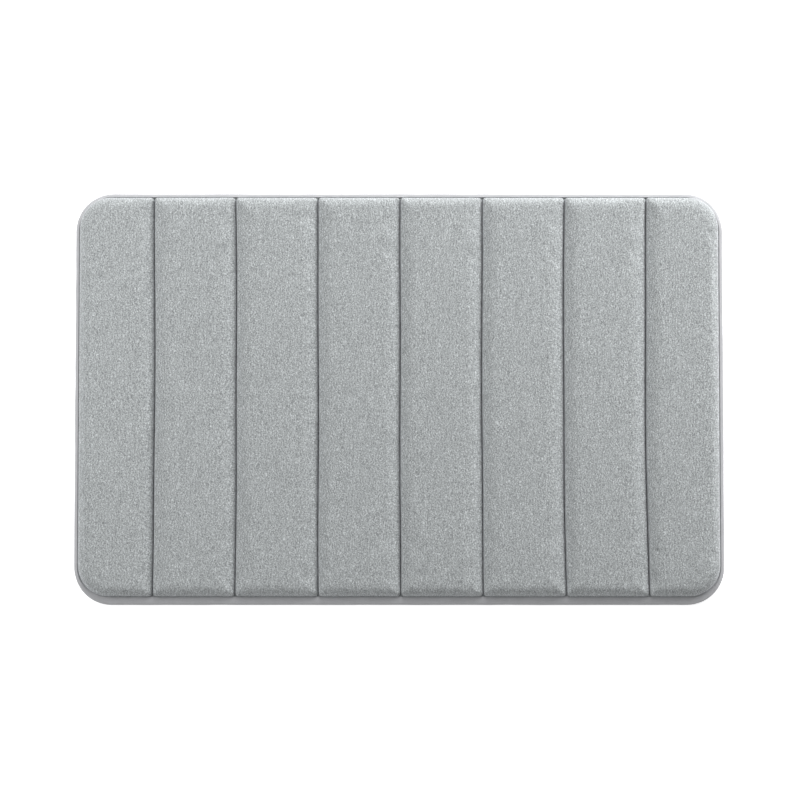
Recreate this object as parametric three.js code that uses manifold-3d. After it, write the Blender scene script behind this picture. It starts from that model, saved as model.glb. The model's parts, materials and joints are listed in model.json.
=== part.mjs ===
// A quilted memory-foam bath mat: eight padded channels in a soft pile cover, a grip backing
// and a folded binding all round. Millimetres, +Z up. The origin is the middle of the underside.
// The mat folds upwards along its seven quilting seams, so every layer is parted there, and
// the fold's axis lies in the seam's stitching, HINGE_Z above the floor.
import * as THREE from "three";
import { mergeVertices } from "three/addons/utils/BufferGeometryUtils.js";
import Module from "manifold-3d";

const wasm = await Module();
wasm.setup();

// Driving dimensions
const LENGTH = 800;
const DEPTH = 508;
const THICKNESS = 16;
const CORNER_RADIUS = 47;
const CHANNELS = 8;
const SEAM_SPACING = 100.8;
const MIDDLE_SEAM_X = 1.0;
const HINGE_Z = 3.3;

// Layers, from the floor up
const BACKING_TOP = 1.6;
const BACKING_EDGE_BOTTOM = 0.9; // the backing's thin edge, gripped by the binding
const COVER_SHEET_TOP = 2.8; // the cover where it lies flat on the backing
const LAYER_GAP = 0.3;

// Binding: a folded tape whose section is a U, open towards the middle of the mat
const BINDING_WIDTH = 6;
const BINDING_HEIGHT = 4.3;
const BINDING_LOWER_LEAF = 0.6;
const BINDING_UPPER_LEAF = 1.2;
const BINDING_FOLD = 1.4; // the tape's outer wall, and the radius of its outer edge
const GRIPPED_INSET = 2.3; // the layers' edges end this far inside the outline

// Pads
const PAD_INSET = BINDING_WIDTH + 0.4;
const PAD_TO_SEAM = 1.0; // clears its neighbour's pad when the seam is folded to 40 degrees
const SHOULDER = 12;
const COVER_WALL = 1.2;
const SHOULDER_STEPS = 5;
const ARC_STEPS = 10;

// Seams
const LAYER_TO_SEAM = 0.4;
const BINDING_TO_SEAM = 0.5;
const THREAD_HALF_WIDTH = 0.3;
const THREAD_BOTTOM = 0.3;

const COLOURS = {
  velour: 0xacb0b1,
  binding: 0x9b9ca0,
  foam: 0xe9e2cf,
  backing: 0xb9bcbd,
  thread: 0x8a8e91,
};

const FAR = 1000; // beyond the mat in every direction
const SEAM_X = [...Array(CHANNELS - 1)].map(
  (_, i) => MIDDLE_SEAM_X + (i + 1 - CHANNELS / 2) * SEAM_SPACING,
);

// A rounded rectangle with its left, right, front and back edges inset from the mat's outline.
function outline(inset, left = -LENGTH / 2 + inset, right = LENGTH / 2 - inset) {
  const back = DEPTH / 2 - inset;
  const radius = CORNER_RADIUS - inset;
  const leftRadius = left < inset - LENGTH / 2 + radius ? radius : 0;
  const rightRadius = right > LENGTH / 2 - inset - radius ? radius : 0;
  const shape = new THREE.Shape();
  shape.moveTo(left + leftRadius, -back);
  shape.lineTo(right - rightRadius, -back);
  if (rightRadius) {
    shape.absarc(right - radius, radius - back, radius, -Math.PI / 2, 0);
    shape.lineTo(right, back - radius);
    shape.absarc(right - radius, back - radius, radius, 0, Math.PI / 2);
  } else {
    shape.lineTo(right, back);
  }
  shape.lineTo(left + leftRadius, back);
  if (leftRadius) {
    shape.absarc(left + radius, back - radius, radius, Math.PI / 2, Math.PI);
    shape.lineTo(left, radius - back);
    shape.absarc(left + radius, radius - back, radius, Math.PI, 1.5 * Math.PI);
  } else {
    shape.lineTo(left, -back);
  }
  shape.closePath();
  return shape;
}

function toSolid(geometry) {
  const bare = geometry.clone();
  bare.deleteAttribute("normal");
  bare.deleteAttribute("uv");
  const merged = mergeVertices(bare, 1e-4);
  return new wasm.Manifold(
    new wasm.Mesh({
      numProp: 3,
      vertProperties: merged.attributes.position.array,
      triVerts: new Uint32Array(merged.index.array),
    }),
  );
}

function toGeometry(solid) {
  const mesh = solid.getMesh();
  const geometry = new THREE.BufferGeometry();
  geometry.setAttribute("position", new THREE.BufferAttribute(mesh.vertProperties, 3));
  geometry.setIndex(new THREE.BufferAttribute(mesh.triVerts, 1));
  geometry.computeVertexNormals();
  return geometry;
}

function slab(shape, bottom, top) {
  const settings = { depth: top - bottom, bevelEnabled: false, curveSegments: ARC_STEPS };
  return toSolid(new THREE.ExtrudeGeometry(shape, settings).translate(0, 0, bottom));
}

// A slab with a quarter-ellipse shoulder round its top, width across and height up.
function domed(shape, bottom, top, width, height, steps) {
  const geometry = new THREE.ExtrudeGeometry(shape, {
    depth: top - height - bottom,
    bevelEnabled: true,
    bevelThickness: height,
    bevelSize: width,
    bevelOffset: -width,
    bevelSegments: steps,
    curveSegments: ARC_STEPS,
  });
  const whole = toSolid(geometry.translate(0, 0, bottom));
  return whole.intersect(block(-FAR, FAR, -FAR, FAR, bottom, FAR));
}

function block(left, right, front, back, bottom, top) {
  const box = new THREE.BoxGeometry(right - left, back - front, top - bottom);
  box.translate((left + right) / 2, (front + back) / 2, (bottom + top) / 2);
  return toSolid(box);
}

// The part of a layer in one channel, stopping short of the seams on either side.
function inChannel(layer, channel, toSeam, front = -FAR, back = FAR) {
  const left = channel > 1 ? SEAM_X[channel - 2] + toSeam : -FAR;
  const right = channel < CHANNELS ? SEAM_X[channel - 1] - toSeam : FAR;
  return layer.intersect(block(left, right, front, back, -FAR, FAR));
}

// A pad-shaped solid filling one channel, smaller than the finished pad by shrink on every side.
function padShape(channel, shrink, bottom) {
  const inset = PAD_INSET + shrink;
  const left = channel > 1 ? SEAM_X[channel - 2] + PAD_TO_SEAM + shrink : inset - LENGTH / 2;
  const right =
    channel < CHANNELS ? SEAM_X[channel - 1] - PAD_TO_SEAM - shrink : LENGTH / 2 - inset;
  const top = THICKNESS - shrink;
  const width = SHOULDER - shrink;
  return domed(
    outline(inset, left, right), bottom, top, width, top - HINGE_Z, SHOULDER_STEPS,
  );
}

function wholeBinding() {
  const tape = domed(
    outline(0), 0, BINDING_HEIGHT, BINDING_FOLD, BINDING_FOLD, 2,
  );
  const middle = slab(outline(BINDING_WIDTH), -1, BINDING_HEIGHT + 1);
  const slotTop = BINDING_HEIGHT - BINDING_UPPER_LEAF;
  const slot = slab(outline(BINDING_FOLD), BINDING_LOWER_LEAF, slotTop);
  return tape.subtract(middle).subtract(slot);
}

function wholeBacking() {
  const plate = slab(outline(BINDING_WIDTH + LAYER_GAP), 0, BACKING_TOP);
  const edge = slab(outline(GRIPPED_INSET), BACKING_EDGE_BOTTOM, BACKING_TOP);
  return plate.add(edge);
}

function topCover(channel, sheet) {
  const brim = inChannel(sheet, channel, LAYER_TO_SEAM);
  const pad = padShape(channel, 0, BACKING_TOP + LAYER_GAP);
  const hollow = padShape(channel, COVER_WALL, BACKING_TOP - 1);
  return brim.add(pad).subtract(hollow);
}

function foamStrip(channel) {
  return padShape(channel, COVER_WALL + LAYER_GAP, BACKING_TOP + LAYER_GAP);
}

function seamThread(x) {
  const end = DEPTH / 2 - BINDING_WIDTH - LAYER_GAP;
  const left = x - THREAD_HALF_WIDTH;
  return block(left, x + THREAD_HALF_WIDTH, -end, end, THREAD_BOTTOM, HINGE_Z);
}

const mat = new THREE.Group();

function addPiece(name, solid, kind) {
  const material = new THREE.MeshStandardMaterial({
    color: COLOURS[kind],
    roughness: kind === "backing" ? 0.8 : 0.95,
    metalness: 0,
  });
  const piece = new THREE.Mesh(toGeometry(solid), material);
  piece.name = name;
  mat.add(piece);
}

const binding = wholeBinding();
const backing = wholeBacking();
const coverSheet = slab(outline(GRIPPED_INSET), BACKING_TOP, COVER_SHEET_TOP);

for (let channel = 1; channel <= CHANNELS; channel++) {
  addPiece(`foam_strip_${channel}`, foamStrip(channel), "foam");
  addPiece(`top_cover_${channel}`, topCover(channel, coverSheet), "velour");
  addPiece(`grip_backing_${channel}`, inChannel(backing, channel, LAYER_TO_SEAM), "backing");
}
addPiece("binding_left_end", inChannel(binding, 1, BINDING_TO_SEAM), "binding");
addPiece("binding_right_end", inChannel(binding, CHANNELS, BINDING_TO_SEAM), "binding");
for (let channel = 2; channel < CHANNELS; channel++) {
  addPiece(
    `binding_front_${channel}`, inChannel(binding, channel, BINDING_TO_SEAM, -FAR, 0), "binding",
  );
  addPiece(
    `binding_back_${channel}`, inChannel(binding, channel, BINDING_TO_SEAM, 0, FAR), "binding",
  );
}
SEAM_X.forEach((x, i) => addPiece(`seam_thread_${i + 1}`, seamThread(x), "thread"));

export default mat;
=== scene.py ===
"""The looks of a quilted memory-foam bath mat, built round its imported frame. Metres, +Z up."""

import json
import math

import bmesh
import bpy
import numpy as np
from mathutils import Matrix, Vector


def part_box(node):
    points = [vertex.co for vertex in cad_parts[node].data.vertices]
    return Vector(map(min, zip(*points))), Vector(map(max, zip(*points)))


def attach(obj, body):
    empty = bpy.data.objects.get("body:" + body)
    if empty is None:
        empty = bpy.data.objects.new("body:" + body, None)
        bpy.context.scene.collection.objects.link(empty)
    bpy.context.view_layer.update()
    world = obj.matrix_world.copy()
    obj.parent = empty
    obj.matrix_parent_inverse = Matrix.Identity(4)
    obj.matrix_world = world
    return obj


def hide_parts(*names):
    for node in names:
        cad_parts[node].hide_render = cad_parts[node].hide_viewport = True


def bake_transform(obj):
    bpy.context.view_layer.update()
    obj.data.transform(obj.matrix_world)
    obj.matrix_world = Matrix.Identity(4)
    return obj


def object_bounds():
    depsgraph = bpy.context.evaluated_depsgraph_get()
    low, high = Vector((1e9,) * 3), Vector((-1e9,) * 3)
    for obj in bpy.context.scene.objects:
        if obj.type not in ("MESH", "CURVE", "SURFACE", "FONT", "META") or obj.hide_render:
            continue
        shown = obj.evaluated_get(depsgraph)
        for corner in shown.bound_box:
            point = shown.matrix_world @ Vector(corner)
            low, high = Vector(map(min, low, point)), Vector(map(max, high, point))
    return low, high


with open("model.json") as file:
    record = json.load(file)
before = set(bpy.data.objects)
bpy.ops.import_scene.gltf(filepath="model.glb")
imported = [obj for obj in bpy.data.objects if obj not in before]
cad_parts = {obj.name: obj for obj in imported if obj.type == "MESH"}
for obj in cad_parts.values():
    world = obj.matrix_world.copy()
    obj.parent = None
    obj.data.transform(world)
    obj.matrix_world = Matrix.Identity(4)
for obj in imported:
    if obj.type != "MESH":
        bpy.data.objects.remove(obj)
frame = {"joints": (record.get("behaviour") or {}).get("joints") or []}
CAD_LOW, CAD_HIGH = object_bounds()

MM = 0.001

# Sizes of the mat, from the frame
LEFT, FRONT, FLOOR = CAD_LOW
RIGHT, BACK, _ = CAD_HIGH
FOLDS = sorted(frame["joints"], key=lambda joint: joint["pos_m"][0])
SEAM_X = [joint["pos_m"][0] for joint in FOLDS]
HINGE_Z = FOLDS[0]["pos_m"][2]
CHANNELS = len(SEAM_X) + 1
MIDDLE_X = [
    (a + b) / 2 for a, b in zip([LEFT, *SEAM_X], [*SEAM_X, RIGHT])
]
BACKING_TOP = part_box("grip_backing_4")[1][2]
BINDING_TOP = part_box("binding_front_4")[1][2]
CORNER_RADIUS = 47 * MM
GRIPPED = 2.3 * MM  # how far inside the outline the layers end, in the binding's fold
LIE = 3.0 * MM  # how far the pads have settled towards the back of their binding

# The padded cover
COVER_THICKNESS = 1.2 * MM
FOAM_GAP = 0.8 * MM  # left free between the cover and its foam
PAD_INSET = 8.0 * MM  # from the outline to the pads, at the front and the back
PAD_INSET_LEFT, PAD_INSET_RIGHT = 5.0 * MM, 5.6 * MM
BRIM = 3 * MM  # how far the cover runs on into the binding
PAD_TO_SEAM = 0.42 * MM
SLIT = 0.36 * MM  # between two pads where they press together
PAD_CORNER = 3 * MM
CORNER_EASE = 14 * MM
FOOT_Z = 2.9 * MM
BRIM_Z = 2.8 * MM
# A shoulder's wall: its width and how square it is; then the slope above: rise and width
LEFT_SHOULDER = 2.0 * MM, 2.6, 3.8 * MM, 20 * MM
RIGHT_SHOULDER = 1.3 * MM, 2.6, 6.6 * MM, 19 * MM
EDGE_SHOULDER = 16 * MM, 2.6, 0.0, 20 * MM
SHOULDER_TOP = 15.0 * MM
CROWN = 0.9 * MM
CELL = 3 * MM
FOAM_CELL = 5 * MM
WALL_CLOTH = 26 * MM  # what a pad's wall and its turns add to the cells across a half
TURN_PACE = 5 * MM  # cloth length that one radian of turn counts for
PIN_RINGS = 2
FREE_RING = 12  # from this row inwards the cover swells in full
SWELL_FRAMES = 16
MOST_SWELL = 1.0 * MM

# The underside and the stitches
DOT_PITCH, DOT_RADIUS = 7 * MM, 1.25 * MM
DOTS_TO_EDGE, DOTS_TO_SEAM = 9.5 * MM, 3.6 * MM
STITCH_PITCH, STITCH_LENGTH = 3.4 * MM, 2.9 * MM
NEEDLE_THREAD, BOBBIN_THREAD = 0.32 * MM, 0.28 * MM  # radii
BOBBIN_Z = 0.62 * MM


# ---------------------------------------------------------------- noise and small helpers


def smoothstep(t):
    t = np.clip(t, 0, 1)
    return t * t * (3 - 2 * t)


def value_noise(points, cell, seed):
    """Smooth noise from -1 to 1 in a plane, with features about one cell wide."""
    table = np.random.default_rng(seed).uniform(-1, 1, (256, 256))
    p = np.asarray(points)[..., :2] / np.asarray(cell)
    low = np.floor(p).astype(int)
    f = smoothstep(p - low)
    a, b = low[..., 0] % 256, low[..., 1] % 256
    c, d = (a + 1) % 256, (b + 1) % 256
    front = table[a, b] * (1 - f[..., 0]) + table[c, b] * f[..., 0]
    back = table[a, d] * (1 - f[..., 0]) + table[c, d] * f[..., 0]
    return front * (1 - f[..., 1]) + back * f[..., 1]


def seam_drift(x, y):
    """How far hand quilting has let the cloth wander sideways at a point of the mat."""
    lines = [LEFT, SEAM_X[0], SEAM_X[2], SEAM_X[3], SEAM_X[6], RIGHT]
    near = np.clip(-y / BACK, 0, 1) ** 2 * np.interp(x, lines, [0, -1.9, 0.2, 0.7, 4.0, 0])
    far = np.clip(y / BACK, 0, 1) ** 2 * np.interp(x, lines, [0, -1.6, -1.2, 0.3, 2.0, 0])
    wander = 0.3 * np.sin(y * 23 + x * 40) * np.interp(x, lines, [0, 1, 1, 1, 1, 0])
    return (near + far + wander) * MM


def new_object(name, vertices, faces, smooth=True):
    mesh = bpy.data.meshes.new(name)
    mesh.from_pydata([tuple(v) for v in np.asarray(vertices).reshape(-1, 3)], [], faces)
    mesh.update()
    if smooth:
        mesh.polygons.foreach_set("use_smooth", [True] * len(mesh.polygons))
    piece = bpy.data.objects.new(name, mesh)
    bpy.context.scene.collection.objects.link(piece)
    return piece


def coordinates(piece):
    found = np.empty(len(piece.data.vertices) * 3)
    piece.data.vertices.foreach_get("co", found)
    return found.reshape(-1, 3)


def set_coordinates(piece, places):
    piece.data.vertices.foreach_set("co", np.asarray(places, np.float32).ravel())
    piece.data.update()


def normals(piece):
    found = np.empty(len(piece.data.vertices) * 3, np.float32)
    piece.data.vertices.foreach_get("normal", found)
    return found.reshape(-1, 3).astype(float)


def apply_modifiers(piece):
    graph = bpy.context.evaluated_depsgraph_get()
    mesh = bpy.data.meshes.new_from_object(piece.evaluated_get(graph))
    piece.modifiers.clear()
    old = piece.data
    piece.data = mesh
    bpy.data.meshes.remove(old)


# ---------------------------------------------------------------- materials


class Nodes:
    """A material's node tree, with short ways to add what the fabrics need."""

    def __init__(self, name, colour, roughness, **sockets):
        self.material = bpy.data.materials.new(name)
        self.material.use_nodes = True
        self.tree = self.material.node_tree
        self.shader = self.tree.nodes["Principled BSDF"]
        self.shader.inputs["Base Color"].default_value = (*colour, 1)
        self.shader.inputs["Roughness"].default_value = roughness
        for socket, value in sockets.items():
            self.shader.inputs[socket.replace("_", " ")].default_value = value
        self.place = self.tree.nodes.new("ShaderNodeTexCoord").outputs["Object"]

    def link(self, source, target):
        self.tree.links.new(source, target)

    def node(self, kind, **settings):
        made = self.tree.nodes.new("ShaderNode" + kind)
        for key, value in settings.items():
            if hasattr(made, key):
                setattr(made, key, value)
            else:
                made.inputs[key.replace("_", " ")].default_value = value
        return made

    def stretched(self, scale):
        mapping = self.node("Mapping")
        mapping.inputs["Scale"].default_value = scale
        self.link(self.place, mapping.inputs["Vector"])
        return mapping.outputs["Vector"]

    def noise(self, scale, detail=2.0, roughness=0.5, stretch=None):
        made = self.node("TexNoise", Scale=scale, Detail=detail, Roughness=roughness)
        source = self.stretched(stretch) if stretch else self.place
        self.link(source, made.inputs["Vector"])
        return made.outputs["Fac"]

    def waves(self, direction, scale, stretch=None):
        """Rows across a direction, which drift out of step with each other."""
        made = self.node("TexWave", bands_direction=direction, Scale=scale, Distortion=10.0)
        made.inputs["Detail"].default_value = 1.0
        made.inputs["Detail Scale"].default_value = 1.6
        source = self.stretched(stretch) if stretch else self.place
        self.link(source, made.inputs["Vector"])
        return made.outputs["Fac"]

    def ramp(self, source, low, high, to_low=0.0, to_high=1.0):
        made = self.node("MapRange")
        for key, value in zip(
            ("From Min", "From Max", "To Min", "To Max"), (low, high, to_low, to_high)
        ):
            made.inputs[key].default_value = value
        self.link(source, made.inputs["Value"])
        return made.outputs["Result"]

    def math(self, operation, a, b):
        made = self.node("Math", operation=operation)
        for socket, value in zip(made.inputs, (a, b)):
            if isinstance(value, (int, float)):
                socket.default_value = value
            else:
                self.link(value, socket)
        return made.outputs["Value"]

    def shade(self, base, factor):
        """The base colour times a factor that varies over the surface."""
        made = self.node("VectorMath", operation="SCALE")
        made.inputs[0].default_value = base
        self.link(factor, made.inputs["Scale"])
        self.link(made.outputs["Vector"], self.shader.inputs["Base Color"])

    def bump(self, heights):
        """Bumps in series: each is (height, depth in metres)."""
        last = None
        for height, depth in heights:
            made = self.node("Bump", Strength=1.0, Distance=depth)
            self.link(height, made.inputs["Height"])
            if last:
                self.link(last, made.inputs["Normal"])
            last = made.outputs["Normal"]
        self.link(last, self.shader.inputs["Normal"])


def velour_material():
    """Short pile knitted in fine rows that wander, its nap laid a little unevenly by brushing.
    Its colour holds painted glints and shade on the fibre tips, and a painted sheen where the
    nap lies another way.
    """
    colour = (0.40, 0.42, 0.425)
    m = Nodes("velour", colour, 0.95, Sheen_Weight=0.55, Sheen_Roughness=0.45)
    m.shader.inputs["Sheen Tint"].default_value = (0.93, 0.95, 1.0, 1)
    m.shader.inputs["Specular IOR Level"].default_value = 0.1
    wales = m.waves("X", 98)
    twill = m.waves("DIAGONAL", 145)
    cross = m.waves("DIAGONAL", 138, stretch=(1, -1, 1))
    pile = m.noise(1000, 1.0, 0.5)
    tufts = m.noise(240, 2.0, 0.55)
    threads = m.noise(1.0, 1.0, 0.5, stretch=(640, 50, 200))
    # Patches where the nap lies another way: the uneven laying is real, but their lighter and
    # darker tone in the colour is a painted sheen.
    uneven_nap_sheen = m.noise(70, 2.0, 0.5)
    # The colour follows the pile's flecks from 0.70 to 1.30: partly the fabric's own uneven
    # tone, partly painted glints on the fibre tips and painted shade in the gaps between them.
    factor = m.ramp(pile, 0.3, 0.7, 0.70, 1.30)
    for height, least, most in (
        (wales, 0.86, 1.14), (twill, 0.83, 1.17), (cross, 0.86, 1.14),
    ):
        factor = m.math("MULTIPLY", factor, m.ramp(height, 0.0, 1.0, least, most))
    # The last of these, the nap's patches, puts a painted sheen of 2% either way into the
    # colour.
    for height, least, most in (
        (tufts, 0.97, 1.03), (threads, 0.95, 1.05), (uneven_nap_sheen, 0.98, 1.02),
    ):
        factor = m.math("MULTIPLY", factor, m.ramp(height, 0.3, 0.7, least, most))
    m.shade(colour, factor)
    m.link(m.ramp(tufts, 0.3, 0.7, 0.88, 1.0), m.shader.inputs["Roughness"])
    m.bump([(pile, 0.25 * MM), (tufts, 0.25 * MM)])
    return m.material


def binding_material():
    colour = (0.50, 0.504, 0.52)
    m = Nodes("binding", colour, 0.8, Sheen_Weight=0.35, Sheen_Roughness=0.4)
    weave = m.noise(1.0, 1.0, 0.5, stretch=(1500, 1500, 500))
    slub = m.noise(1.0, 2.0, 0.5, stretch=(120, 120, 60))
    factor = m.math(
        "MULTIPLY",
        m.ramp(weave, 0.3, 0.7, 0.93, 1.07),
        m.ramp(slub, 0.3, 0.7, 0.96, 1.04),
    )
    m.shade(colour, factor)
    m.link(m.ramp(slub, 0.3, 0.7, 0.72, 0.88), m.shader.inputs["Roughness"])
    m.bump([(weave, 0.12 * MM), (slub, 0.25 * MM)])
    return m.material


def foam_material():
    m = Nodes("foam", (0.82, 0.77, 0.62), 0.9)
    cells = m.node("TexVoronoi", Scale=900.0)
    m.link(m.place, cells.inputs["Vector"])
    pores = m.noise(400, 3.0, 0.6)
    m.shade((0.82, 0.77, 0.62), m.ramp(pores, 0.3, 0.7, 0.9, 1.05))
    m.link(m.ramp(pores, 0.3, 0.7, 0.82, 0.98), m.shader.inputs["Roughness"])
    m.bump([(cells.outputs["Distance"], 0.4 * MM), (pores, 0.3 * MM)])
    return m.material


def backing_material():
    m = Nodes("backing", (0.46, 0.48, 0.485), 0.75, Sheen_Weight=0.1)
    warp = m.node("TexWave", wave_type="BANDS", bands_direction="X", Scale=280.0)
    weft = m.node("TexWave", wave_type="BANDS", bands_direction="Y", Scale=280.0)
    for wave in (warp, weft):
        m.link(m.place, wave.inputs["Vector"])
    weave = m.math("MULTIPLY", warp.outputs["Fac"], weft.outputs["Fac"])
    patch = m.noise(30, 2.0, 0.5)
    factor = m.math(
        "MULTIPLY", m.ramp(weave, 0, 1, 0.86, 1.06), m.ramp(patch, 0.3, 0.7, 0.97, 1.03)
    )
    m.shade((0.46, 0.48, 0.485), factor)
    m.link(m.ramp(patch, 0.3, 0.7, 0.68, 0.82), m.shader.inputs["Roughness"])
    m.bump([(weave, 0.2 * MM)])
    return m.material


def grip_material():
    m = Nodes("grip_dots", (0.60, 0.62, 0.63), 0.45)
    grime = m.noise(180, 2.0, 0.5)
    m.shade((0.60, 0.62, 0.63), m.ramp(grime, 0.3, 0.7, 0.93, 1.04))
    m.link(m.ramp(grime, 0.3, 0.7, 0.38, 0.55), m.shader.inputs["Roughness"])
    m.bump([(grime, 0.1 * MM)])
    return m.material


def thread_material():
    m = Nodes("thread", (0.24, 0.25, 0.255), 0.6, Sheen_Weight=0.2)
    twist = m.node("TexWave", wave_type="BANDS", bands_direction="DIAGONAL", Scale=900.0)
    m.link(m.place, twist.inputs["Vector"])
    m.shade((0.24, 0.25, 0.255), m.ramp(twist.outputs["Fac"], 0, 1, 0.8, 1.1))
    m.link(m.ramp(twist.outputs["Fac"], 0, 1, 0.5, 0.7), m.shader.inputs["Roughness"])
    m.bump([(twist.outputs["Fac"], 0.1 * MM)])
    return m.material


# ---------------------------------------------------------------- padded channels


def side_path(length, start_radius, end_radius, steps):
    """Points along one side of a rounded rectangle, from the middle of one corner's arc to
    the middle of the next one's: (along the side, inwards from it)."""
    start_arc, end_arc = start_radius * math.pi / 4, end_radius * math.pi / 4
    straight = length - start_radius - end_radius
    s = np.linspace(0, start_arc + straight + end_arc, steps + 1)
    along, inwards = start_radius + s - start_arc, np.zeros(steps + 1)
    if start_radius > 0:
        before = s < start_arc
        turn = (start_arc - s[before]) / start_radius
        along[before] = start_radius * (1 - np.sin(turn))
        inwards[before] = start_radius * (1 - np.cos(turn))
    if end_radius > 0:
        after = s > start_arc + straight
        turn = (s[after] - start_arc - straight) / end_radius
        along[after] = length - end_radius * (1 - np.sin(turn))
        inwards[after] = end_radius * (1 - np.cos(turn))
    return along, inwards


def near_corner(along, length, here, start, end):
    """A side's height, easing to halfway to its neighbours' heights at its two corners."""
    to_start = 0.5 * (1 - smoothstep(along / CORNER_EASE))
    to_end = 0.5 * (1 - smoothstep((length - along) / CORNER_EASE))
    return here + (start - here) * to_start + (end - here) * to_end


def ring_grid(rings, box, radii, cells_along):
    """A grid over a rounded rectangle, made of rings that step inwards. Each ring is the
    (inset, height) of its left, right and end sides, and the last one closes to a line."""
    across = 2 * (len(rings) - 1)
    grid = np.zeros((across + 1, across + cells_along + 1, 3))
    x0, x1, y0, y1 = box
    for m, ((left, z_left), (right, z_right), (end, z_end)) in enumerate(rings):
        a, b, c, d = x0 + left, x1 - right, y0 + end, y1 - end
        i, j = slice(m, across + 1 - m), slice(m, grid.shape[1] - m)
        if m == len(rings) - 1:
            grid[m, j, 0] = (a + b) / 2
            grid[m, j, 1] = np.linspace(c, d, cells_along + 1)
            grid[m, j, 2] = (z_left + z_right) / 2
            continue
        r_left, r_right = max(radii[0] - left, 0), max(radii[1] - right, 0)
        along, inwards = side_path(b - a, r_left, r_right, across - 2 * m)
        z = near_corner(along, b - a, z_end, z_left, z_right)
        grid[i, m] = np.stack([a + along, c + inwards, z], -1)
        grid[i, -1 - m] = np.stack([a + along, d - inwards, z], -1)
        steps = grid.shape[1] - 1 - 2 * m
        along, inwards = side_path(d - c, r_left, r_left, steps)
        z = near_corner(along, d - c, z_left, z_end, z_end)
        grid[m, j] = np.stack([a + inwards, c + along, z], -1)
        along, inwards = side_path(d - c, r_right, r_right, steps)
        z = near_corner(along, d - c, z_right, z_end, z_end)
        grid[-1 - m, j] = np.stack([b - inwards, c + along, z], -1)
    return grid


def pad_profile(shoulder, half_width, rise, steps):
    """(inset, height) from a pad's foot to its middle line: close together where it turns."""
    width, power, slope_rise, slope_width = shoulder
    d = np.concatenate([
        width * np.linspace(0, 1, 800) ** 4, np.linspace(width, half_width, 300)[1:],
    ])
    t = np.clip(1 - d / width, 0, 1)
    z = (rise - slope_rise) * (1 - t ** power) ** (1 / power)
    z = z + slope_rise * (1 - np.clip(1 - d / slope_width, 0, 1) ** 2)
    z = z + CROWN * np.sin(math.pi / 2 * d / half_width)
    run, climb = np.diff(d), np.diff(z)
    turn = np.abs(np.diff(np.arctan2(climb, run), prepend=math.pi / 2))
    pace = np.hypot(run, climb) + TURN_PACE * turn
    pace = np.concatenate([[0], np.cumsum(pace)])
    even = np.linspace(0, pace[-1], steps + 1)
    return list(zip(np.interp(even, pace, d), FOOT_Z + np.interp(even, pace, z)))


def channel_sides(channel):
    """Where a channel's pad ends, and how wide the cover's brim is, left and right."""
    first, last = channel == 1, channel == CHANNELS
    left = LEFT + PAD_INSET_LEFT if first else SEAM_X[channel - 2] + PAD_TO_SEAM
    right = RIGHT - PAD_INSET_RIGHT if last else SEAM_X[channel - 1] - PAD_TO_SEAM
    return left, right, BRIM if first else PAD_TO_SEAM, BRIM if last else PAD_TO_SEAM


def pad_grid(channel, shrink=0.0, cell=CELL, brim=True):
    """The grid of a channel's pad; shrink makes the smaller shape of what is inside it."""
    left, right, brim_left, brim_right = channel_sides(channel)
    left, right = left + shrink, right - shrink
    front, back = FRONT + PAD_INSET + shrink, BACK - PAD_INSET - shrink
    half = (right - left) / 2
    steps = round((half + WALL_CLOTH) / cell)
    rise = SHOULDER_TOP - FOOT_Z - shrink
    edge_side = pad_profile(EDGE_SHOULDER, half, rise, steps)
    on_left, on_right = edge_side, edge_side
    if channel > 1:
        on_left = pad_profile(LEFT_SHOULDER, half, rise, steps)
    if channel < CHANNELS:
        on_right = pad_profile(RIGHT_SHOULDER, half, rise, steps)
    rings = list(zip(on_left, on_right, edge_side))
    if brim:
        rings.insert(0, ((-brim_left, BRIM_Z), (-brim_right, BRIM_Z), (-BRIM, BRIM_Z)))
    corner = CORNER_RADIUS - PAD_INSET - shrink
    small = max(PAD_CORNER - shrink, 0.5 * MM)
    radii = corner if channel == 1 else small, corner if channel == CHANNELS else small
    cells_along = round((back - front - (right - left)) / cell)
    return ring_grid(rings, (left, right, front, back), radii, cells_along)


def settle(places):
    """Moves the pads as they lie: towards the back, and with their seams' wandering."""
    places = places.copy()
    places[..., 0] += seam_drift(places[..., 0], places[..., 1])
    places[..., 1] += LIE
    return places


def grid_faces(columns, rows):
    i, j = np.meshgrid(np.arange(columns - 1), np.arange(rows - 1), indexing="ij")
    a = (i * rows + j).ravel()
    return np.stack([a, a + rows, a + rows + 1, a + 1], -1).tolist()


def ring_number(columns, rows):
    i, j = np.meshgrid(np.arange(columns), np.arange(rows), indexing="ij")
    return np.minimum.reduce([i, j, columns - 1 - i, rows - 1 - j])


def swell(piece, ring):
    """Puffs the cover out over its foam with a cloth simulation, held at the stitched edges
    and least beside them. ring counts the rows of the grid inwards from its edge."""
    start = coordinates(piece)
    group = piece.vertex_groups.new(name="stitched")
    group.add(np.flatnonzero(ring < PIN_RINGS).tolist(), 1.0, "REPLACE")
    cloth = piece.modifiers.new("cloth", "CLOTH")
    settings = cloth.settings
    settings.quality = 5
    settings.mass = 0.25
    settings.tension_stiffness = settings.compression_stiffness = 25
    settings.shear_stiffness = 10
    settings.bending_stiffness = 0.6
    settings.shrink_min = -0.008
    settings.use_pressure = True
    settings.uniform_pressure_force = 4
    settings.vertex_group_mass = "stitched"
    settings.effector_weights.gravity = 0
    cloth.collision_settings.use_collision = False
    cloth.collision_settings.use_self_collision = False
    scene = bpy.context.scene
    for number in range(1, SWELL_FRAMES + 1):
        scene.frame_set(number)
    apply_modifiers(piece)
    scene.frame_set(1)
    moved = coordinates(piece) - start
    length = np.linalg.norm(moved, axis=1, keepdims=True)
    moved *= MOST_SWELL * np.tanh(length / MOST_SWELL) / np.maximum(length, 1e-9)
    set_coordinates(piece, start + moved * smoothstep(ring / FREE_RING)[:, None])


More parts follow.
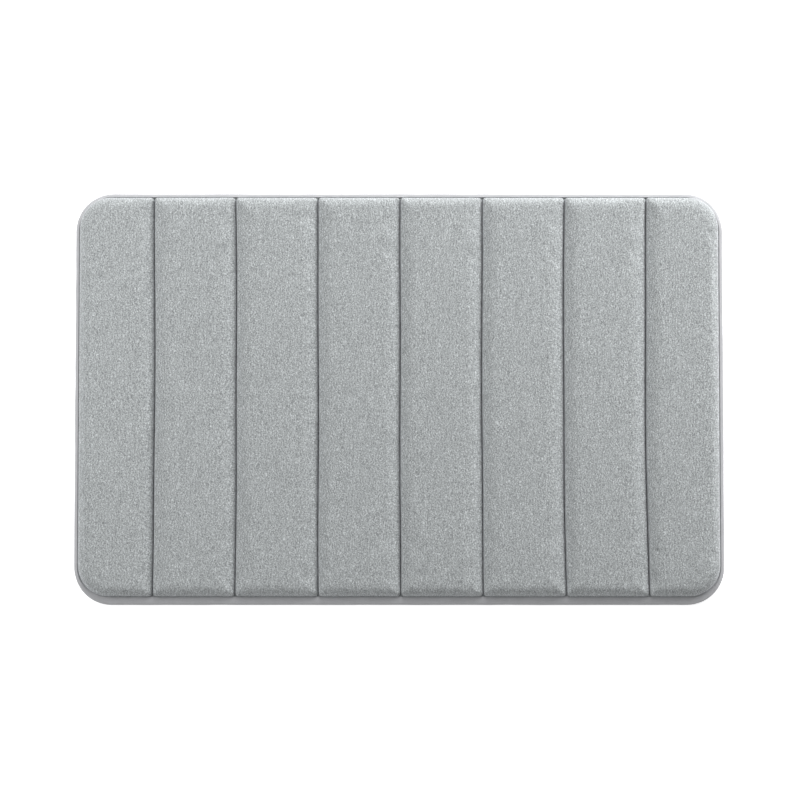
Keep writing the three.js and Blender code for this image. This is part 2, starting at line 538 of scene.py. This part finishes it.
def pile_relief(places):
    """The cover's small unevenness: soft hollows over the foam, and the pile's tufting."""
    return MM * (
        0.16 * value_noise(places, (26 * MM, 34 * MM), 1)
        + 0.09 * value_noise(places, (9 * MM, 11 * MM), 2)
        + 0.07 * value_noise(places, (4.2 * MM, 4.2 * MM), 3)
        + 0.04 * value_noise(places, (40 * MM, 3.6 * MM), 4)
        + 0.04 * value_noise(places, (3.6 * MM, 40 * MM), 5)
    )


def beside_seams(places, channel, gap):
    """Stops a pad where it presses against its neighbour over the seam."""
    if channel > 1:
        places[:, 0] = np.maximum(places[:, 0], SEAM_X[channel - 2] + gap)
    if channel < CHANNELS:
        places[:, 0] = np.minimum(places[:, 0], SEAM_X[channel - 1] - gap)
    return places


def cover_surface(channel):
    """A channel's finished cover: places, normals, four-sided faces, and each face's half."""
    grid = pad_grid(channel)
    columns, rows = grid.shape[:2]
    middle = grid[(columns - 1) // 2, (rows - 1) // 2, 0]
    piece = new_object("cover", grid, grid_faces(columns, rows))
    ring = ring_number(columns, rows).ravel()
    swell(piece, ring)
    fine = piece.modifiers.new("fine", "SUBSURF")
    fine.levels = fine.render_levels = 1
    apply_modifiers(piece)
    places = coordinates(piece)
    high = smoothstep((places[:, 2] - FOOT_Z) / (6 * MM))
    places = places + normals(piece) * (pile_relief(places) * high)[:, None]
    raised = places[:, 2] > FOOT_Z
    places[raised] = beside_seams(places[raised], channel, SLIT / 2)
    set_coordinates(piece, settle(places))
    quads = np.empty(len(piece.data.loops), np.int32)
    piece.data.loops.foreach_get("vertex_index", quads)
    quads = quads.reshape(-1, 4)
    on_right = places[quads].mean(axis=1)[:, 0] > middle
    found = coordinates(piece), normals(piece), quads, on_right
    bpy.data.objects.remove(piece)
    return found


def foam_surface(channel):
    grid = pad_grid(channel, shrink=COVER_THICKNESS + FOAM_GAP, cell=FOAM_CELL, brim=False)
    columns, rows = grid.shape[:2]
    quads = np.array(grid_faces(columns, rows))
    places = grid.reshape(-1, 3)
    middle = grid[(columns - 1) // 2, (rows - 1) // 2, 0]
    on_right = places[quads].mean(axis=1)[:, 0] > middle
    return settle(places), None, quads, on_right


def over_seam(surfaces, seam):
    """Joins what lies between the middles of the two channels that a seam divides. The end
    channels go whole with the first and the last seam."""
    places, directions, faces, count = [], [], [], 0
    for channel, near_half in ((seam, True), (seam + 1, False)):
        points, outwards, quads, on_right = surfaces[channel]
        whole = channel in (1, CHANNELS)
        kept = quads if whole else quads[on_right == near_half]
        used, index = np.unique(kept, return_inverse=True)
        places.append(points[used])
        directions.append(points[used] if outwards is None else outwards[used])
        faces.append(index.reshape(-1, 4) + count)
        count += len(used)
    return np.concatenate(places), np.concatenate(directions), np.concatenate(faces)


def shell(outer, inner, quads):
    """Two skins of the same faces, closed to one body along their open edges."""
    edges = np.concatenate([quads[:, [k, (k + 1) % 4]] for k in range(4)])
    ordered = np.sort(edges, axis=1)
    _, first, counts = np.unique(ordered, axis=0, return_index=True, return_counts=True)
    rim = edges[first[counts == 1]]
    count = len(outer)
    sides = np.stack([rim[:, 1], rim[:, 0], rim[:, 0] + count, rim[:, 1] + count], -1)
    faces = np.concatenate([quads, quads[:, ::-1] + count, sides])
    return np.concatenate([outer, inner]), faces.tolist()


def channel_nodes(word, seam):
    """The CAD nodes that the piece over a seam stands for."""
    return [f"{word}_{seam}"] + ([f"{word}_{CHANNELS}"] if seam == CHANNELS - 1 else [])


def make_cover(seam, surfaces, material):
    outer, outwards, quads = over_seam(surfaces, seam)
    inner = outer - outwards * COVER_THICKNESS
    inner[:, 2] = np.maximum(inner[:, 2], BACKING_TOP)
    vertices, faces = shell(outer, inner, quads)
    piece = new_object(f"quilted_cover_over_seam_{seam}", vertices, faces)
    piece.data.normals_split_custom_set_from_vertices(
        np.concatenate([outwards, -outwards]).tolist()
    )
    piece.data.materials.append(material)
    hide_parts(*channel_nodes("top_cover", seam))
    fold_between(piece)


def make_foam(seam, surfaces, material):
    top, _, quads = over_seam(surfaces, seam)
    under = top.copy()
    under[:, 2] = BACKING_TOP + 0.3 * MM
    vertices, faces = shell(top, under, quads)
    piece = new_object(f"foam_core_over_seam_{seam}", vertices, faces)
    piece.data.materials.append(material)
    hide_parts(*channel_nodes("foam_strip", seam))
    fold_between(piece)


# ---------------------------------------------------------------- binding


def binding_section(leaf):
    """The folded tape's closed section as (inset, height), clockwise from the inner end of
    its upper leaf, which reaches in by leaf. What the upper leaf gains the lower one loses."""
    middle = BINDING_TOP / 2
    turn = np.linspace(math.pi / 2, 1.5 * math.pi, 13)
    reach = 3.0 * MM
    bend_in = reach + reach * np.cos(turn)
    bend_z = middle + middle * np.sin(turn)
    top_in = np.array([leaf, leaf - 0.5 * MM, leaf - 1.5 * MM, (leaf + reach) / 2])
    top_z = BINDING_TOP + np.array([-1.2, -0.8, -0.3, 0.45]) * MM
    low = np.clip(12 * MM - leaf, 4.2 * MM, 6.0 * MM)
    low_in = np.array([0.6, 0.77, 0.9, 1.0]) * low
    low_z = np.array([0.0, 0.0, 0.02, 0.2]) * MM
    slot_in = np.array([5.9, 4.0, 2.0, 1.3, 1.3, 2.0, 4.0]) * MM
    slot_in[0] = low - 0.1 * MM
    slot_in[1] = min(4.0 * MM, low - 0.5 * MM)
    slot_z = np.array([0.65, 0.6, 0.6, 1.0, 2.6, 2.9, 2.95]) * MM
    end_in = np.array([leaf - 0.1 * MM])
    end_z = np.array([2.95 * MM])
    return (
        np.concatenate([top_in, bend_in, low_in, slot_in, end_in]),
        np.concatenate([top_z, bend_z, low_z, slot_z, end_z]),
    )


def upper_leaf(nx, ny):
    """How far in the tape shows where the way inwards is (nx, ny): up to the pads."""
    across = PAD_INSET_LEFT if nx > 0 else PAD_INSET_RIGHT
    along = PAD_INSET + LIE * np.sign(ny)
    return across * nx ** 2 + along * ny ** 2 - 0.6 * MM


def straight(a, b, edge, inward):
    steps = max(2, round(abs(b - a) / (2.5 * MM)))
    x = np.linspace(a, b, steps + 1)
    return [((v, edge), (0, inward)) for v in x]


def end_path(side):
    """The outline round one end of the mat, front to back: each point and its way inwards."""
    edge, start = (LEFT, MIDDLE_X[0]) if side < 0 else (RIGHT, MIDDLE_X[-1])
    centre = edge - side * CORNER_RADIUS
    found = straight(start, centre, FRONT, 1)
    for low, middle_y in ((True, FRONT + CORNER_RADIUS), (False, BACK - CORNER_RADIUS)):
        for turn in np.linspace(0, math.pi / 2, 33)[1:]:
            angle = turn if low else turn + math.pi / 2
            out = np.array([side * math.sin(angle), -math.cos(angle)])
            place = np.array([centre, middle_y]) + CORNER_RADIUS * out
            found.append((tuple(place), tuple(-out)))
        if low:
            y = np.linspace(middle_y, BACK - CORNER_RADIUS, 170)[1:]
            found += [((edge, v), (-side, 0)) for v in y]
    return found + straight(centre, start, BACK, -1)[1:]


def make_binding(name, path, nodes, material):
    """Sweeps the tape along the outline. It is drawn in a little where a seam ends in it."""
    places = np.array([p for p, _ in path])
    inward = np.array([n for _, n in path])
    rings = []
    for (x, y), (nx, ny) in zip(places, inward):
        inset, z = binding_section(upper_leaf(nx, ny))
        nearest = min(abs(x - seam) for seam in SEAM_X)
        pull = math.exp(-((nearest / (4.5 * MM)) ** 2)) * abs(ny)
        top = np.clip((z - 2 * MM) / (2 * MM), 0, 1) * np.clip(inset / (5 * MM), 0, 1)
        z = z + pull * top * 0.5 * MM
        inset = inset + pull * top * 0.6 * MM
        wave = value_noise(np.array([x, y]), (22 * MM, 22 * MM), 9)
        z = z + top * wave * 0.15 * MM
        inset = inset + 0.2 * MM * wave * np.clip(1 - inset / (3 * MM), 0, 1) + 0.2 * MM
        rings.append(np.stack([x + nx * inset, y + ny * inset, z], -1))
    around = len(rings[0])
    faces = []
    for here in range(0, (len(rings) - 1) * around, around):
        for j in range(around):
            k = (j + 1) % around
            faces.append([here + j, here + k, here + around + k, here + around + j])
    piece = new_object(name, np.array(rings), faces)
    orient(piece)
    piece.data.materials.append(material)
    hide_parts(*nodes)
    return piece


def orient(piece):
    """Closes a mesh's open ends, turns its faces outwards and keeps its sharp edges."""
    built = bmesh.new()
    built.from_mesh(piece.data)
    open_edges = [edge for edge in built.edges if edge.is_boundary]
    bmesh.ops.holes_fill(built, edges=open_edges, sides=0)
    bmesh.ops.recalc_face_normals(built, faces=built.faces)
    for edge in built.edges:
        edge.smooth = edge.calc_face_angle(0) < math.radians(65)
    built.to_mesh(piece.data)
    built.free()


def fold_between(piece):
    """Bakes a piece's placement into its mesh; the piece is left unbent."""
    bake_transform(piece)


def make_bindings(material):
    ends = {"left": (-1, 1, "binding_left_end"), "right": (1, CHANNELS, "binding_right_end")}
    for word, (side, channel, node) in ends.items():
        piece = make_binding(f"binding_{word}", end_path(side), [node], material)
        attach(piece, f"channel_{channel}")
    for seam in range(1, CHANNELS):
        for word, edge, inward in (("front", FRONT, 1), ("back", BACK, -1)):
            a, b = MIDDLE_X[seam - 1], MIDDLE_X[seam]
            nodes = [
                f"binding_{word}_{channel}"
                for channel in (seam, seam + 1)
                if 1 < channel < CHANNELS
            ]
            piece = make_binding(
                f"binding_{word}_over_seam_{seam}", straight(a, b, edge, inward), nodes, material
            )
            fold_between(piece)


# ---------------------------------------------------------------- grip backing


def outline_reach(x, inset):
    """How far from the middle line the outline lies at x, in from its edge by inset."""
    radius = CORNER_RADIUS - inset
    into = np.minimum(x - (LEFT + inset), (RIGHT - inset) - x)
    corner = np.clip(radius - into, 0, radius)
    return BACK - inset - radius + np.sqrt(radius ** 2 - corner ** 2)


def inset_of(x, y):
    """How far inside the mat's outline a point lies."""
    across = np.abs(x) - (RIGHT - CORNER_RADIUS)
    along = np.abs(y) - (BACK - CORNER_RADIUS)
    outside = np.hypot(np.maximum(across, 0), np.maximum(along, 0))
    return CORNER_RADIUS - outside - np.minimum(np.maximum(across, along), 0)


def backing_columns(seam):
    """Where the grid's columns stand in the piece of backing over one seam."""
    x = SEAM_X[seam - 1]
    near = np.array([-8, -6, -4, -2.8, -1.8, -1, -0.4, 0.4, 1, 1.8, 2.8, 4, 6, 8]) * MM
    edge_steps = np.array([0, 0.6, 2.0, 3.4, 4.0, 4.6, 6.0, 9, 13, 19, 26, 34]) * MM
    open_steps = np.array([50, 70]) * MM
    if seam == 1:
        left = LEFT + np.concatenate([GRIPPED + edge_steps, open_steps])
    else:
        left = np.linspace(MIDDLE_X[seam - 1], x - 14 * MM, 8)
    if seam == CHANNELS - 1:
        right = RIGHT - np.concatenate([GRIPPED + edge_steps, open_steps])[::-1]
    else:
        right = np.linspace(x + 14 * MM, MIDDLE_X[seam], 8)
    return np.concatenate([left, x + near, right])


def backing_height(x, y, under):
    """The backing's lower or upper surface. The stitches draw it up along each seam."""
    seam = np.min([np.abs(x - s) for s in SEAM_X], axis=0)
    if not under:
        return np.full_like(x, BACKING_TOP - 0.05 * MM)
    inset = inset_of(x, y)
    z = 0.32 * MM + 0.06 * MM * value_noise(np.stack([x, y], -1), (17 * MM, 21 * MM), 12)
    z = z + 0.5 * MM * np.exp(-((seam / (2.0 * MM)) ** 2))
    return np.where(inset < 6.5 * MM, 0.95 * MM, z)


def make_backing(seam, material):
    columns = backing_columns(seam)
    reach = outline_reach(columns, GRIPPED)[:, None]
    in_fold = np.array([[0, 0.6, 2.0, 3.4, 4.0, 4.6, 6.0]]) * MM
    rest = in_fold[0, -1] + (reach - in_fold[0, -1]) * np.linspace(0, 1, 41)[1:]
    outer = reach - np.concatenate([np.repeat(in_fold, len(columns), axis=0), rest], axis=1)
    y = np.concatenate([-outer, outer[:, -2::-1]], axis=1)
    x = np.repeat(columns[:, None], y.shape[1], axis=1)
    grids = [np.stack([x, y, backing_height(x, y, under)], -1) for under in (False, True)]
    wide, deep = y.shape
    quads = np.array(grid_faces(wide, deep))
    vertices, faces = shell(grids[0].reshape(-1, 3), grids[1].reshape(-1, 3), quads)
    piece = new_object(f"grip_backing_over_seam_{seam}", vertices, faces)
    orient(piece)
    piece.data.materials.append(material)
    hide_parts(*channel_nodes("grip_backing", seam))
    fold_between(piece)


def make_grip_dots(seam, material):
    """Rubber dots printed under the backing in a hexagonal pattern."""
    pitch, radius, sides = DOT_PITCH, DOT_RADIUS, 8
    left = LEFT if seam == 1 else MIDDLE_X[seam - 1]
    right = RIGHT if seam == CHANNELS - 1 else MIDDLE_X[seam]
    turn = np.linspace(0, 2 * math.pi, sides, endpoint=False)
    ring = np.stack([np.cos(turn), np.sin(turn)], -1) * radius
    shape = [(1.0, 0.42 * MM), (0.92, 0.12 * MM), (0.6, 0.0)]
    vertices, faces = [], []
    row_gap = pitch * math.sqrt(3) / 2
    for row in range(-int(BACK / row_gap), int(BACK / row_gap) + 1):
        y = row * row_gap
        for column in range(math.floor(left / pitch), math.ceil(right / pitch) + 1):
            x = (column + 0.5 * (row % 2)) * pitch
            to_seam = min(abs(x - line) for line in SEAM_X)
            outside = inset_of(x, y) < DOTS_TO_EDGE or not left <= x < right
            if outside or to_seam < DOTS_TO_SEAM:
                continue
            base = len(vertices)
            for scale, z in shape:
                vertices += [(x + scale * a, y + scale * b, z) for a, b in ring]
            for level in range(len(shape) - 1):
                for j in range(sides):
                    k = (j + 1) % sides
                    low = base + level * sides
                    faces.append([low + j, low + sides + j, low + sides + k, low + k])
            faces.append([base + j for j in range(sides)])
            faces.append([base + 2 * sides + j for j in reversed(range(sides))])
    piece = new_object(f"grip_dots_over_seam_{seam}", vertices, faces)
    piece.data.materials.append(material)
    fold_between(piece)


# ---------------------------------------------------------------- stitches


def stitch_row(line, up, pitch, length, radius):
    """Vertices and faces of a row of stitches along a line of points, bowed towards up."""
    steps = np.hypot(*np.diff(line[:, :2], axis=0).T)
    run = np.concatenate([[0], np.cumsum(steps)])
    sides, rings = 6, 5
    vertices, faces = [], []
    starts = np.arange(0.3 * pitch, run[-1] - length, pitch)
    turn = np.linspace(0, 2 * math.pi, sides, endpoint=False)
    for start in starts:
        base = len(vertices)
        for step in range(rings):
            t = step / (rings - 1)
            at = start + t * length
            centre = np.array([np.interp(at, run, line[:, k]) for k in range(3)])
            ahead = np.array([np.interp(at + 1e-4, run, line[:, k]) for k in range(3)])
            forward = (ahead - centre) / max(np.linalg.norm(ahead - centre), 1e-12)
            side = np.cross(forward, (0, 0, 1))
            bow = math.sin(math.pi * t) * 0.5 * radius * up
            size = radius * (0.55 + 0.45 * math.sin(math.pi * t))
            centre[2] += bow
            for angle in turn:
                offset = side * math.cos(angle) + np.array([0, 0, 1]) * math.sin(angle)
                vertices.append(centre + size * offset)
        for step in range(rings - 1):
            for j in range(sides):
                k = (j + 1) % sides
                low = base + step * sides
                faces.append([low + j, low + k, low + sides + k, low + sides + j])
        faces.append([base + j for j in reversed(range(sides))])
        faces.append([base + (rings - 1) * sides + j for j in range(sides)])
    return vertices, faces


def make_seam_stitches(seam, material):
    """The quilting's needle thread in the crease and its bobbin thread underneath."""
    front_end = FRONT + PAD_INSET + LIE + 1 * MM
    back_end = BACK - PAD_INSET + LIE - 1 * MM
    y = np.linspace(front_end, back_end, 160)
    x = SEAM_X[seam - 1] + seam_drift(np.full_like(y, SEAM_X[seam - 1]), y)
    top = np.stack([x, y, np.full_like(y, HINGE_Z - 0.15 * MM)], -1)
    low = np.stack([np.full_like(y, SEAM_X[seam - 1]), y, np.full_like(y, BOBBIN_Z)], -1)
    vertices, faces = stitch_row(top, 1, STITCH_PITCH, STITCH_LENGTH, NEEDLE_THREAD)
    more, more_faces = stitch_row(low, -1, STITCH_PITCH, STITCH_LENGTH, BOBBIN_THREAD)
    count = len(vertices)
    faces += [[v + count for v in face] for face in more_faces]
    piece = new_object(f"quilting_stitches_{seam}", vertices + more, faces)
    orient(piece)
    piece.data.materials.append(material)
    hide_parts(f"seam_thread_{seam}")
    fold_between(piece)


# ---------------------------------------------------------------- stage


def make_floor():
    side = 6.0
    corners = [(-side, -side, 0), (side, -side, 0), (side, side, 0), (-side, side, 0)]
    floor = new_object("floor", corners, [[0, 1, 2, 3]], smooth=False)
    floor.location.z = FLOOR - 0.1 * MM
    m = Nodes("floor", (0.93, 0.93, 0.93), 0.9)
    m.shader.inputs["Emission Color"].default_value = (1, 1, 1, 1)
    m.shader.inputs["Emission Strength"].default_value = 0.6
    floor.data.materials.append(m.material)


def aim(thing, place, target):
    direction = np.array(target) - np.array(place)
    thing.location = place
    yaw = math.atan2(direction[1], direction[0])
    pitch = math.atan2(direction[2], math.hypot(direction[0], direction[1]))
    thing.rotation_euler = (math.pi / 2 + pitch, 0, yaw - math.pi / 2)


def add_light(name, place, size, watts, target=(0, 0, 0)):
    light = bpy.data.lights.new(name, "AREA")
    light.shape = "RECTANGLE"
    light.size, light.size_y = size
    light.energy = watts
    lamp = bpy.data.objects.new(name, light)
    bpy.context.scene.collection.objects.link(lamp)
    aim(lamp, place, target)


def make_lights():
    add_light("far", (0.1, 2.0, 1.5), (1.6, 0.8), 22.3)
    add_light("far_low", (0.1, 2.0, 0.75), (1.6, 0.5), 3.0)
    add_light("right_low", (1.5, 1.3, 0.6), (1.2, 0.5), 34.3)
    add_light("left_low", (-1.3, 0.3, 0.8), (0.9, 0.5), 7.8)
    world = bpy.data.worlds.new("studio")
    world.use_nodes = True
    background = world.node_tree.nodes["Background"]
    background.inputs["Color"].default_value = (1, 1, 1, 1)
    background.inputs["Strength"].default_value = 0.376
    bpy.context.scene.world = world


def make_camera():
    """Looks almost straight down, from the mat's near side."""
    distance, elevation, width_shown = 3.0, math.radians(87.2), 0.9877
    data = bpy.data.cameras.new("camera")
    data.sensor_width = 36
    data.lens = data.sensor_width * distance / width_shown
    camera = bpy.data.objects.new("camera", data)
    bpy.context.scene.collection.objects.link(camera)
    middle = np.array([0.9, -1.5, 0]) * MM
    back = np.array([0, -math.cos(elevation), math.sin(elevation)])
    aim(camera, middle + distance * back, middle)
    bpy.context.scene.camera = camera


# ---------------------------------------------------------------- the mat


velour = velour_material()
foam = foam_material()
covers = {channel: cover_surface(channel) for channel in range(1, CHANNELS + 1)}
cores = {channel: foam_surface(channel) for channel in range(1, CHANNELS + 1)}
for seam in range(1, CHANNELS):
    make_cover(seam, covers, velour)
    make_foam(seam, cores, foam)

make_bindings(binding_material())
backing, dots, thread = backing_material(), grip_material(), thread_material()
for seam in range(1, CHANNELS):
    make_backing(seam, backing)
    make_grip_dots(seam, dots)
    make_seam_stitches(seam, thread)

make_floor()
make_lights()
make_camera()
bpy.context.scene.view_settings.view_transform = "Standard"
